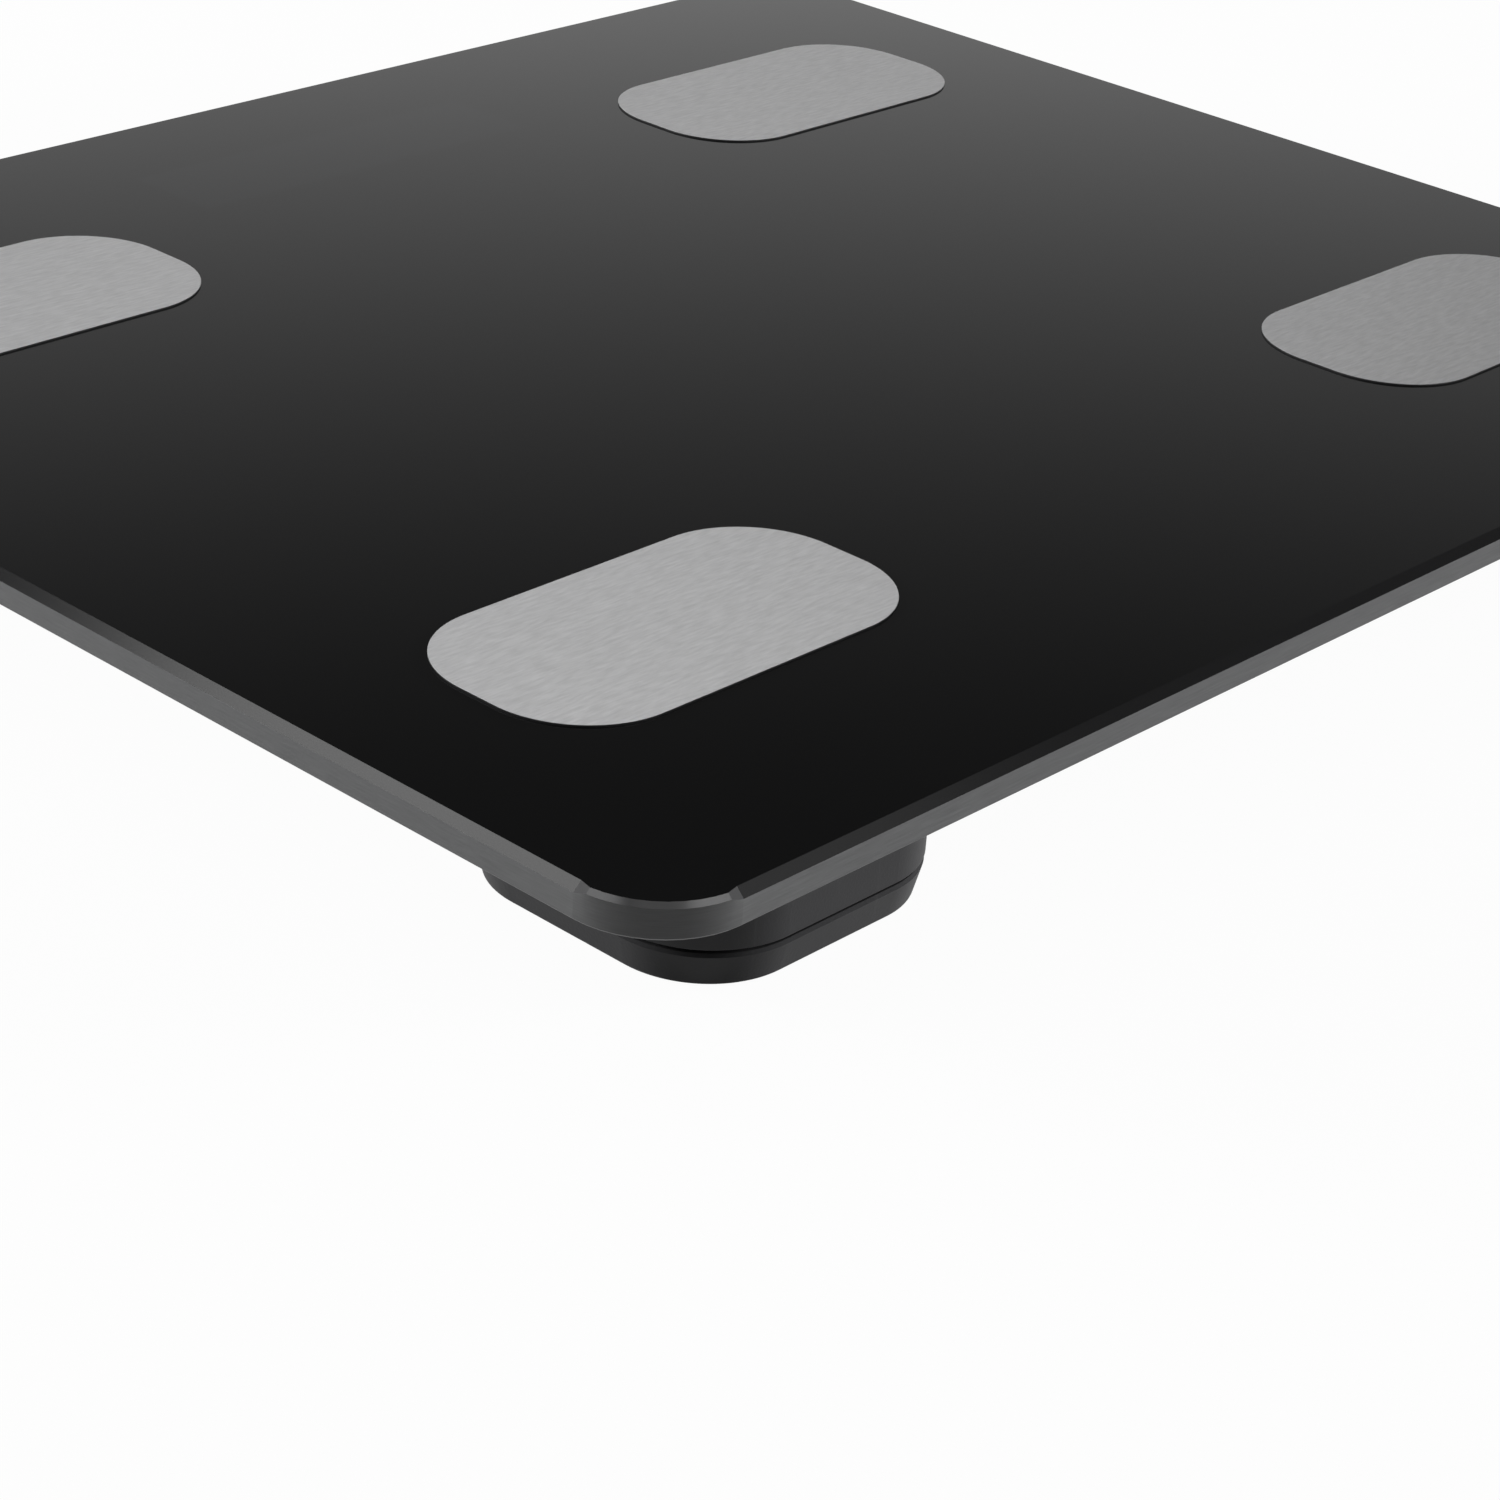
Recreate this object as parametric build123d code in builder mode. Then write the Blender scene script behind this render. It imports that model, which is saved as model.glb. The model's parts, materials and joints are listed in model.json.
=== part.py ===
# Digital bathroom scale: a bevelled glass platform with four steel electrodes, carried on
# four load-cell feet, with the display, board and batteries in a tray under the rear edge.
# Millimetres, +Z up. The origin is on the floor under the middle of the platform,
# +X runs along the front edge to the right and +Y runs towards the display.

from build123d import *
import math
import os

# Glass platform
plate_length = 300.0
plate_depth = 260.0
plate_corner = 14.0
glass_thickness = 5.0
glass_bevel = 1.2
glass_corner_bevel = 0.65
glass_bevel_run_out = 2.5
glass_arris = 0.35

# Printed film bonded under the glass
film_thickness = 0.2
film_inset = 1.0

# Steel electrodes and the terminals that reach them through the glass
electrode_length = 69.7
electrode_width = 36.95
electrode_corner = 15.1
electrode_thickness = 0.3
electrode_edge = 0.05
electrode_inset_x = 23.6
electrode_inset_y = 37.3
terminal_inset = 18.0
terminal_radius = 1.6
terminal_head_radius = 3.5
terminal_head_height = 1.0
terminal_clearance = 0.4

# Foot outline, shared by the fixed housing and the moving foot
foot_side = 49.0
foot_corner = 14.5
foot_inset_x = 13.9
foot_inset_y = 5.0

# Fixed foot housing
housing_height = 8.9
housing_wall = 2.2
housing_roof = 1.6
housing_edge = 0.3

# Moving foot
foot_height = 4.85
foot_taper = 1.15
foot_gap = 0.55
foot_floor = 1.4
foot_upper_edge = 0.45
foot_lower_edge = 0.5
collar_rise = 2.8
collar_wall = 1.4
guide_clearance = 0.4
boss_radius = 5.0
rib_height = 2.4
rib_thickness = 1.2

# Rubber grip under each foot
grip_inset = 4.5
grip_proud = 0.6
grip_recess = 0.4
grip_clearance = 0.15
grip_edge = 0.25

# Screw that ties each foot to its load cell
screw_radius = 1.5
screw_head_radius = 2.75
screw_head_height = 1.6
screw_clearance = 0.1

# Load cell: a stamped frame with a tongue
cell_room = 1.7
cell_corner = 4.0
cell_thickness = 2.0
cell_bar = 6.0
tongue_width = 12.0
tongue_slot = 2.5
slot_relief = 1.6
button_side = 9.0
button_corner = 2.0
button_height = 1.0
gauge_length = 5.0
gauge_width = 8.0
gauge_height = 0.5
gauge_setback = 1.0

# Rails and hooks in the housing that hold the load cell
rail_width = 5.0
rail_height = 2.7
hook_wall = 1.6
hook_length = 6.0
hook_spread = 20.0
hook_lip = 1.0
hook_reach = 1.2
hook_clearance = 0.2

# Leads and their ducts under the glass
sensor_lead_radius = 1.0
electrode_lead_radius = 0.7
lead_clearance = 0.15
lead_pitch = 4.0
lead_bend = 20.0
electrode_lead_bend = 6.0
lead_dip_bend = 8.0
duct_wall = 0.9
duct_room = 0.6

# Electronics tray
tray_terminal_gap = 12.7
tray_rear_inset = 16.0
tray_corner = 4.0
tray_height = 10.5
tray_wall = 1.8
tray_floor = 1.6
tray_edge = 1.5
tray_rib_height = 3.0

# Main board and what it carries
board_side_gap = 2.7
board_depth = 28.0
board_thickness = 1.2
board_clearance = 0.8
board_standoff = 2.4
board_corner = 1.0
board_post_radius = 2.6
board_post_spacing = 15.0
board_post_gap = 4.0
board_screw_radius = 1.1
board_screw_head_radius = 2.2
board_screw_head_height = 1.4
board_screw_length = 4.0
connector_width = 9.0
connector_depth = 5.5
connector_setback = 0.5
connector_lane_gap = 6.0
processor_side = 10.0
processor_height = 1.4
processor_share = -0.225
radio_length = 16.0
radio_width = 12.0
radio_height = 1.6
radio_share = 0.15

# Display behind the glass
display_width = 25.0
display_side_room = 17.5
display_panel_thickness = 1.4
display_frame_wall = 2.0
display_window_margin = 3.0

# Battery bay: four AAA cells side by side
cell_count = 4
battery_radius = 5.25
battery_length = 44.5
battery_nub_radius = 1.9
battery_nub_height = 0.8
battery_edge = 0.6
battery_pitch = 11.0
battery_clearance = 0.15
bay_roof = 0.8
bay_rim = 3.0
bay_corner = 3.0
bay_setback = 3.0
contact_thickness = 0.5
contact_width = 8.0
leaf_thickness = 0.4
leaf_space = 3.0
leaf_bend = 0.5

# Battery door
door_thickness = 1.3
door_ledge = 1.5
door_clearance = 0.3
door_seat = 0.1
door_corner = 3.0
tab_width = 8.0
tab_reach = 1.5
tab_thickness = 1.2
tab_spacing = 26.0
latch_width = 12.0
latch_thickness = 1.0
latch_height = 3.5
finger_radius = 8.0
finger_depth = 1.0
ridge_count = 4
ridge_spacing = 2.4
ridge_width = 1.0
ridge_length = 16.0
ridge_depth = 0.4

# Unit button
unit_button_radius = 4.5
unit_button_flange_radius = 6.0
unit_button_flange = 0.8
unit_button_clearance = 0.3
unit_button_edge = 0.4
unit_button_inset = 4.0
unit_button_travel = 0.6
switch_side = 6.0
switch_gap = 0.1

# Heights, stacked up from the floor
foot_bottom = grip_proud
foot_top = foot_bottom + foot_height
housing_bottom = foot_top + foot_gap
film_bottom = housing_bottom + housing_height
glass_bottom = film_bottom + film_thickness
glass_top = glass_bottom + glass_thickness

# Places shared by several pieces
foot_x = plate_length / 2 - foot_inset_x - foot_side / 2
foot_y = plate_depth / 2 - foot_inset_y - foot_side / 2
electrode_x = plate_length / 2 - electrode_inset_x - electrode_length / 2
electrode_y = plate_depth / 2 - electrode_inset_y - electrode_width / 2
terminal_x = electrode_x - electrode_length / 2 + terminal_inset

# Inside the foot
housing_inner = foot_side - 2 * housing_wall
housing_inner_corner = foot_corner - housing_wall
collar_side = housing_inner - 2 * guide_clearance
collar_corner = housing_inner_corner - guide_clearance
collar_inner = collar_side - 2 * collar_wall
cell_side = collar_inner - 2 * (hook_wall + hook_clearance + cell_room)
grip_side = foot_side - 2 * grip_inset
grip_corner = foot_corner - grip_inset
foot_floor_bottom = foot_bottom + grip_recess
foot_floor_top = foot_floor_bottom + foot_floor
roof_bottom = film_bottom - housing_roof
cell_top = roof_bottom - rail_height
cell_bottom = cell_top - cell_thickness
boss_top = cell_bottom - button_height
tongue_root = cell_side / 2 - cell_bar
slot_tip = -cell_side / 2 + cell_bar
tongue_tip = slot_tip + tongue_slot
screw_head_top = foot_floor_bottom + screw_head_height

# The tray fits between the terminals, the board in the tray, and the display on the board
tray_width = 2 * (terminal_x - tray_terminal_gap)
board_length = tray_width - 2 * (tray_wall + board_side_gap)
display_length = board_length - 2 * display_side_room
board_post_x = display_length / 2 + board_post_gap
lead_lane = board_post_x + connector_lane_gap
unit_button_x = display_length / 2 - unit_button_inset
processor_x = processor_share * display_length
radio_x = radio_share * display_length

# Tray and battery bay, worked forward from the rear edge of the platform
tray_bottom = film_bottom - tray_height
tray_floor_top = tray_bottom + tray_floor
tray_rear = plate_depth / 2 - tray_rear_inset
board_rear = tray_rear - tray_wall - board_clearance
board_front = board_rear - board_depth
board_y = (board_front + board_rear) / 2
board_bottom = tray_floor_top + board_standoff
board_top = board_bottom + board_thickness
bay_length = battery_length + contact_thickness + leaf_space
bay_width = cell_count * battery_pitch + 2 * battery_clearance
bay_border = door_ledge + bay_rim
bay_rear = board_front - board_clearance - bay_border
bay_front = bay_rear - bay_length
bay_y = (bay_front + bay_rear) / 2
bay_roof_bottom = film_bottom - bay_roof
battery_z = bay_roof_bottom - battery_clearance - battery_radius
ledge_z = battery_z - battery_radius - battery_clearance
door_top = ledge_z - door_seat
bay_bottom = door_top - door_thickness
tray_front = bay_front - bay_border - bay_setback
tray_depth = tray_rear - tray_front
tray_y = (tray_front + tray_rear) / 2

# The door turns about the middle of its rounded front edge
door_front = bay_front - door_ledge + door_clearance
door_rear = bay_rear + door_ledge - door_clearance
door_nose = door_thickness / 2
hinge_y = door_front + door_nose
hinge_z = bay_bottom + door_nose
tab_swing = math.hypot(door_nose + tab_reach, door_nose + tab_thickness)
slot_top = hinge_z + tab_swing + door_clearance

# The battery contacts end above the swing of the door's tabs
contact_height = 2 * (battery_z - slot_top)

# Lead lanes
lead_z = film_bottom - lead_clearance - sensor_lead_radius
electrode_lead_z = film_bottom - lead_clearance - electrode_lead_radius
lead_low_z = cell_top + lead_clearance + sensor_lead_radius
duct_middle = lead_lane + lead_pitch / 2
duct_inner_width = lead_pitch + 2 * (sensor_lead_radius + duct_room)
duct_room_depth = 2 * sensor_lead_radius + 2 * lead_clearance
duct_depth = duct_room_depth + duct_wall
front_connector_y = board_front + connector_setback
rear_connector_x = board_length / 2 - connector_setback

corners = {
    "front_left": (-1, -1),
    "front_right": (1, -1),
    "rear_left": (-1, 1),
    "rear_right": (1, 1),
}


def foot_plane(side, end, height):
    # Local X points from the foot's centre towards the middle of the platform
    return Plane(origin=(side * foot_x, end * foot_y, height), x_dir=(-side, 0, 0), z_dir=(0, 0, 1))


def save(piece, name):
    piece.part.label = name
    export_step(piece.part, f"parts/{name}.step")


def bevel_wedge(side, edge):
    # Section of what the grinding wheel takes off along a straight side
    inner = (side * (edge - 2 * glass_bevel), glass_top + glass_bevel)
    outer = (side * (edge + glass_bevel), glass_top + glass_bevel)
    lower = (side * (edge + glass_bevel), glass_top - 2 * glass_bevel)
    Polygon(inner, outer, lower, align=None)


def wheel_stations(half_length):
    # Places along a side and how far out the wheel stands there: it runs out beside each corner
    lift = glass_bevel - glass_corner_bevel
    far = half_length + glass_bevel_run_out
    return (-far, lift), (-half_length, 0), (half_length, 0), (far, lift)


def make_glass_platform():
    with BuildPart() as glass:
        with BuildSketch(Plane.XY.offset(glass_bottom)):
            RectangleRounded(plate_length, plate_depth, plate_corner)
            with GridLocations(2 * terminal_x, 2 * electrode_y, 2, 2):
                Circle(terminal_radius + terminal_clearance, mode=Mode.SUBTRACT)
        extrude(amount=glass_thickness)
        top_rim = glass.faces().sort_by(Axis.Z)[-1].outer_wire().edges()
        bottom_rim = glass.faces().sort_by(Axis.Z)[0].outer_wire().edges()
        chamfer(top_rim, length=glass_corner_bevel)
        chamfer(bottom_rim, length=glass_arris)
        # The straight sides are ground to a wider bevel than the corners
        for side in (-1, 1):
            for along, away in wheel_stations(plate_length / 2 - plate_corner):
                with BuildSketch(Plane.YZ.offset(along)):
                    bevel_wedge(side, plate_depth / 2 + away)
            loft(ruled=True, mode=Mode.SUBTRACT)
            for along, away in wheel_stations(plate_depth / 2 - plate_corner):
                with BuildSketch(Plane.XZ.offset(along)):
                    bevel_wedge(side, plate_length / 2 + away)
            loft(ruled=True, mode=Mode.SUBTRACT)
    save(glass, "glass_platform")


def make_backing_film():
    window_length = display_length - 2 * display_window_margin
    window_width = display_width - 2 * display_window_margin
    with BuildPart() as film:
        with BuildSketch(Plane.XY.offset(film_bottom)):
            RectangleRounded(plate_length - 2 * film_inset, plate_depth - 2 * film_inset,
                             plate_corner - film_inset)
            with GridLocations(2 * terminal_x, 2 * electrode_y, 2, 2):
                Circle(terminal_radius + terminal_clearance, mode=Mode.SUBTRACT)
            with Locations((0, board_y)):
                Rectangle(window_length, window_width, mode=Mode.SUBTRACT)
        extrude(amount=film_thickness)
    save(film, "backing_film")


def make_electrode(name, side, end):
    with BuildPart() as electrode:
        with BuildSketch(Plane((side * electrode_x, end * electrode_y, glass_top))):
            RectangleRounded(electrode_length, electrode_width, electrode_corner)
        extrude(amount=electrode_thickness)
        fillet(electrode.faces().sort_by(Axis.Z)[-1].edges(), electrode_edge)
    save(electrode, f"electrode_{name}")


def make_electrode_terminals():
    with BuildPart() as terminals:
        with BuildSketch(Plane.XY.offset(film_bottom - terminal_head_height)):
            with GridLocations(2 * terminal_x, 2 * electrode_y, 2, 2):
                Circle(terminal_head_radius)
        extrude(amount=terminal_head_height)
        with BuildSketch(Plane.XY.offset(film_bottom)):
            with GridLocations(2 * terminal_x, 2 * electrode_y, 2, 2):
                Circle(terminal_radius)
        extrude(amount=glass_top - film_bottom)
    save(terminals, "electrode_terminals")


def make_foot_housing(name, side, end):
    hook_bottom = cell_bottom - hook_lip
    hook_middle = cell_side / 2 + hook_clearance + hook_wall / 2
    lip_middle = cell_side / 2 + hook_clearance - hook_reach / 2
    notch_width = 2 * (sensor_lead_radius + duct_room)
    notch_inner_end = cell_side / 2 - hook_clearance
    with BuildPart() as housing:
        with BuildSketch(foot_plane(side, end, housing_bottom)):
            RectangleRounded(foot_side, foot_side, foot_corner)
        extrude(amount=housing_height)
        fillet(housing.faces().sort_by(Axis.Z)[0].edges(), housing_edge)
        with BuildSketch(foot_plane(side, end, housing_bottom)):
            RectangleRounded(housing_inner, housing_inner, housing_inner_corner)
        extrude(amount=housing_height - housing_roof, mode=Mode.SUBTRACT)
        # Two rails carry the load cell's outer legs and leave its tongue free
        with BuildSketch(foot_plane(side, end, cell_top)):
            with GridLocations(0, cell_side - rail_width, 1, 2):
                Rectangle(cell_side, rail_width)
        extrude(amount=rail_height)
        # Four snap hooks reach down past the load cell and lip under it
        with BuildSketch(foot_plane(side, end, hook_bottom)):
            with GridLocations(hook_spread, 2 * hook_middle, 2, 2):
                Rectangle(hook_length, hook_wall)
        extrude(amount=roof_bottom - hook_bottom)
        with BuildSketch(foot_plane(side, end, hook_bottom)):
            with GridLocations(hook_spread, 2 * lip_middle, 2, 2):
                Rectangle(hook_length, hook_reach)
        extrude(amount=hook_lip)
        # The lead leaves through a notch in the inner wall and the roof behind it
        with BuildSketch(foot_plane(side, end, cell_top)):
            with Locations(((notch_inner_end + foot_side / 2) / 2, 0)):
                Rectangle(foot_side / 2 - notch_inner_end, notch_width)
        extrude(amount=film_bottom - cell_top, mode=Mode.SUBTRACT)
    save(housing, f"foot_housing_{name}")


def make_load_cell(name, side, end):
    slot_side = tongue_width + 2 * tongue_slot
    with BuildPart() as cell:
        with BuildSketch(foot_plane(side, end, cell_bottom)):
            RectangleRounded(cell_side, cell_side, cell_corner)
            with Locations(((slot_tip + tongue_root) / 2, 0)):
                Rectangle(tongue_root - slot_tip, slot_side, mode=Mode.SUBTRACT)
            with Locations(((tongue_tip + tongue_root) / 2, 0)):
                Rectangle(tongue_root - tongue_tip, tongue_width)
            with Locations((tongue_root, 0)):
                with GridLocations(0, tongue_width + tongue_slot, 1, 2):
                    Circle(slot_relief, mode=Mode.SUBTRACT)
            Circle(screw_radius + screw_clearance, mode=Mode.SUBTRACT)
        extrude(amount=cell_thickness)
        # Pressed button that stands on the foot's boss
        with BuildSketch(foot_plane(side, end, boss_top)):
            RectangleRounded(button_side, button_side, button_corner)
            Circle(screw_radius + screw_clearance, mode=Mode.SUBTRACT)
        extrude(amount=button_height)
    save(cell, f"load_cell_{name}")


def make_strain_gauges():
    gauge_middle = tongue_root - gauge_setback - gauge_length / 2
    with BuildPart() as gauges:
        for side, end in corners.values():
            with BuildSketch(foot_plane(side, end, cell_top)):
                with Locations((gauge_middle, 0)):
                    RectangleRounded(gauge_length, gauge_width, gauge_height)
            extrude(amount=gauge_height)
    save(gauges, "strain_gauges")


def make_foot(name, side, end):
    with BuildPart() as foot:
        # The foot draws in towards the floor
        with BuildSketch(foot_plane(side, end, foot_bottom)):
            lower_side = foot_side - 2 * foot_taper
            RectangleRounded(lower_side, lower_side, foot_corner - foot_taper)
        with BuildSketch(foot_plane(side, end, foot_top)):
            RectangleRounded(foot_side, foot_side, foot_corner)
        loft(ruled=True)
        chamfer(foot.faces().sort_by(Axis.Z)[-1].edges(), length=foot_upper_edge)
        fillet(foot.faces().sort_by(Axis.Z)[0].edges(), foot_lower_edge)
        # A collar slides in the housing and hides the gap
        with BuildSketch(foot_plane(side, end, foot_floor_top)):
            RectangleRounded(collar_side, collar_side, collar_corner)
        extrude(amount=foot_top + collar_rise - foot_floor_top)
        with BuildSketch(foot_plane(side, end, foot_floor_top)):
            RectangleRounded(collar_inner, collar_inner, collar_corner - collar_wall)
        extrude(amount=foot_top + collar_rise - foot_floor_top, mode=Mode.SUBTRACT)
        # Boss and ribs under the load cell's tongue
        with BuildSketch(foot_plane(side, end, foot_floor_top)):
            Rectangle(collar_inner, rib_thickness)
            Rectangle(rib_thickness, collar_inner)
        extrude(amount=rib_height)
        with BuildSketch(foot_plane(side, end, foot_floor_top)):
            Circle(boss_radius)
        extrude(amount=boss_top - foot_floor_top)
        # Seats for the grip and for the screw behind it
        with BuildSketch(foot_plane(side, end, foot_bottom)):
            RectangleRounded(grip_side + 2 * grip_clearance, grip_side + 2 * grip_clearance,
                             grip_corner + grip_clearance)
        extrude(amount=grip_recess, mode=Mode.SUBTRACT)
        with BuildSketch(foot_plane(side, end, foot_floor_bottom)):
            Circle(screw_head_radius + screw_clearance)
        extrude(amount=screw_head_height, mode=Mode.SUBTRACT)
        with BuildSketch(foot_plane(side, end, foot_floor_bottom)):
            Circle(screw_radius + screw_clearance)
        extrude(amount=boss_top - foot_floor_bottom, mode=Mode.SUBTRACT)
    save(foot, f"foot_{name}")


def make_foot_grip(name, side, end):
    with BuildPart() as grip:
        with BuildSketch(foot_plane(side, end, 0)):
            RectangleRounded(grip_side, grip_side, grip_corner)
        extrude(amount=grip_proud + grip_recess)
        fillet(grip.faces().sort_by(Axis.Z)[0].edges(), grip_edge)
    save(grip, f"foot_grip_{name}")


def make_foot_screw(name, side, end):
    with BuildPart() as screw:
        with BuildSketch(foot_plane(side, end, foot_floor_bottom)):
            Circle(screw_head_radius)
        extrude(amount=screw_head_height)
        with BuildSketch(foot_plane(side, end, screw_head_top)):
            Circle(screw_radius)
        extrude(amount=cell_top - screw_head_top)
    save(screw, f"foot_screw_{name}")


def sensor_route(side, end):
    # Off the load cell, up through the housing's notch, then along the duct
    cell_end = foot_x - tongue_root
    dip = foot_x - cell_side / 2
    rise = foot_x - foot_side / 2
    y = end * foot_y
    points = [
        (side * cell_end, y, lead_low_z),
        (side * dip, y, lead_low_z),
        (side * rise, y, lead_z),
    ]
    bends = [lead_dip_bend, lead_dip_bend]
    if end > 0:
        points.append((side * rear_connector_x, y, lead_z))
    else:
        points.append((side * lead_lane, y, lead_z))
        points.append((side * lead_lane, front_connector_y, lead_z))
        bends.append(lead_bend)
    return points, bends


def electrode_route(side, end):
    # Off the terminal's head and into the lane beside the sensor lead
    lane = lead_lane + lead_pitch
    z = electrode_lead_z
    if end > 0:
        turn_y = foot_y - lead_pitch
        points = [
            (side * terminal_x, electrode_y + terminal_head_radius, z),
            (side * terminal_x, turn_y, z),
            (side * rear_connector_x, turn_y, z),
        ]
    else:
        points = [
            (side * (terminal_x - terminal_head_radius), -electrode_y, z),
            (side * lane, -electrode_y, z),
            (side * lane, front_connector_y, z),
        ]
    return points, [electrode_lead_bend]


def make_lead(name, points, bends, radius):
    with BuildPart() as lead:
        with BuildLine():
            route = FilletPolyline(*points, radius=bends)
        with BuildSketch(Plane(origin=route @ 0, z_dir=route % 0)):
            Circle(radius)
        sweep(path=route)
    save(lead, name)
    tube_volume = math.pi * radius**2 * route.length
    print(f"{name}: length {route.length:.1f}, volume ratio {lead.part.volume / tube_volume:.4f}")


def duct_outline(main_route, branch_route, terminal, wall):
    # Plan of the duct: its main run, the branch to the terminal and the cover over the terminal
    trace(main_route, line_width=duct_inner_width + 2 * wall)
    trace(branch_route, line_width=2 * (electrode_lead_radius + duct_room + wall))
    with Locations(terminal):
        Circle(terminal_head_radius + duct_room + wall)


def make_cable_duct(name, side, end):
    housing_face = foot_x - foot_side / 2
    half_pitch = lead_pitch / 2
    terminal = (side * terminal_x, end * electrode_y)
    duct_plane = Plane.XY.offset(film_bottom)
    with BuildPart() as duct:
        with BuildLine(mode=Mode.PRIVATE):
            if end > 0:
                lane = foot_y - lead_pitch
                turn = (side * terminal_x, lane)
                join = (side * tray_width / 2, lane)
                start = (side * housing_face, lane + half_pitch)
                main = Line(start, (side * tray_width / 2, lane + half_pitch))
            else:
                lane = lead_lane + lead_pitch
                turn = (side * lane, -electrode_y)
                join = (side * lane, -electrode_y + 2 * electrode_lead_bend)
                start = (side * housing_face, -foot_y + half_pitch)
                bend = (side * duct_middle, -foot_y + half_pitch)
                finish = (side * duct_middle, tray_front)
                main = FilletPolyline(start, bend, finish, radius=lead_bend - half_pitch)
            branch = FilletPolyline(terminal, turn, join, radius=electrode_lead_bend)
        with BuildSketch(duct_plane):
            duct_outline(main, branch, terminal, duct_wall)
        extrude(amount=-duct_depth)
        with BuildSketch(duct_plane):
            duct_outline(main, branch, terminal, 0)
        extrude(amount=-duct_room_depth, mode=Mode.SUBTRACT)
    save(duct, f"cable_duct_{name}")


def make_electronics_tray():
    recess_length = bay_length + 2 * door_ledge
    recess_width = bay_width + 2 * door_ledge
    slot_reach = door_ledge + tab_reach
    notch_span = lead_pitch + 2 * (sensor_lead_radius + duct_room)
    with BuildPart() as tray:
        with BuildSketch(Plane((0, tray_y, tray_bottom))):
            RectangleRounded(tray_width, tray_depth, tray_corner)
        extrude(amount=tray_height)
        fillet(tray.faces().sort_by(Axis.Z)[0].edges(), tray_edge)
        with BuildSketch(Plane((0, tray_y, tray_floor_top))):
            RectangleRounded(tray_width - 2 * tray_wall, tray_depth - 2 * tray_wall, tray_corner - tray_wall)
        extrude(amount=tray_height - tray_floor, mode=Mode.SUBTRACT)
        # Low ribs tie the battery bay to the side walls
        with BuildSketch(Plane((0, bay_y, tray_floor_top))):
            with GridLocations(0, bay_length / 2, 1, 2):
                Rectangle(tray_width - tray_wall, rib_thickness)
        extrude(amount=tray_rib_height)
        # Posts under the board
        with BuildSketch(Plane((0, board_y, tray_floor_top))):
            with GridLocations(2 * board_post_x, board_post_spacing, 2, 2):
                Circle(board_post_radius)
        extrude(amount=board_standoff)
        # Battery bay: a box that stands below the tray and opens downwards
        with BuildSketch(Plane((0, bay_y, bay_bottom))):
            RectangleRounded(bay_width + 2 * bay_border, bay_length + 2 * bay_border, bay_corner)
        extrude(amount=film_bottom - bay_bottom)
        with BuildSketch(Plane((0, bay_y, bay_bottom))):
            Rectangle(bay_width, bay_length)
        extrude(amount=bay_roof_bottom - bay_bottom, mode=Mode.SUBTRACT)
        with BuildSketch(Plane((0, bay_y, bay_bottom))) as recess:
            Rectangle(recess_width, recess_length)
            fillet(recess.vertices().group_by(Axis.Y)[-1], door_corner + door_clearance)
        extrude(amount=ledge_z - bay_bottom, mode=Mode.SUBTRACT)
        # Slots that the door's tabs hook into and swing up in, and the pocket for its latch
        with BuildSketch(Plane((0, bay_front - slot_reach / 2, door_top))):
            with GridLocations(tab_spacing, 0, 2, 1):
                Rectangle(tab_width + 2 * door_clearance, slot_reach)
        extrude(amount=slot_top - door_top, mode=Mode.SUBTRACT)
        with BuildSketch(Plane((0, bay_rear + door_ledge / 2, ledge_z))):
            Rectangle(latch_width + 2 * door_clearance, door_ledge)
        extrude(amount=latch_height + door_clearance, mode=Mode.SUBTRACT)
        # Finger notch beside the latch
        with BuildSketch(Plane((0, bay_rear + door_ledge, bay_bottom))):
            Circle(finger_radius)
            with Locations((0, finger_radius + bay_rim / 2)):
                Rectangle(2 * finger_radius, 2 * finger_radius, mode=Mode.SUBTRACT)
        extrude(amount=finger_depth, mode=Mode.SUBTRACT)
        # Hole for the unit button
        with BuildSketch(Plane((unit_button_x, board_y, tray_bottom))):
            Circle(unit_button_radius + unit_button_clearance)
        extrude(amount=tray_floor, mode=Mode.SUBTRACT)
        # Notches for the leads, two in front and one in each side
        with BuildSketch(Plane((0, tray_front + tray_wall / 2, film_bottom))):
            with GridLocations(2 * duct_middle, 0, 2, 1):
                Rectangle(notch_span, tray_wall)
        extrude(amount=-duct_room_depth, mode=Mode.SUBTRACT)
        with BuildSketch(Plane((0, foot_y - lead_pitch / 2, film_bottom))):
            with GridLocations(tray_width - tray_wall, 0, 2, 1):
                Rectangle(tray_wall, notch_span)
        extrude(amount=-duct_room_depth, mode=Mode.SUBTRACT)
        # Screw holes down through the posts
        with BuildSketch(Plane((0, board_y, board_bottom))):
            with GridLocations(2 * board_post_x, board_post_spacing, 2, 2):
                Circle(board_screw_radius + screw_clearance)
        extrude(amount=board_thickness - board_screw_length, mode=Mode.SUBTRACT)
    save(tray, "electronics_tray")


def make_main_board():
    with BuildPart() as board:
        with BuildSketch(Plane((0, board_y, board_bottom))):
            RectangleRounded(board_length, board_depth, board_corner)
            with GridLocations(2 * board_post_x, board_post_spacing, 2, 2):
                Circle(board_screw_radius + screw_clearance, mode=Mode.SUBTRACT)
        extrude(amount=board_thickness)
    save(board, "main_board")


def make_board_screws():
    with BuildPart() as screws:
        with BuildSketch(Plane((0, board_y, board_top))):
            with GridLocations(2 * board_post_x, board_post_spacing, 2, 2):
                Circle(board_screw_head_radius)
        extrude(amount=board_screw_head_height)
        with BuildSketch(Plane((0, board_y, board_top))):
            with GridLocations(2 * board_post_x, board_post_spacing, 2, 2):
                Circle(board_screw_radius)
        extrude(amount=-board_screw_length)
    save(screws, "board_screws")


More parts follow.
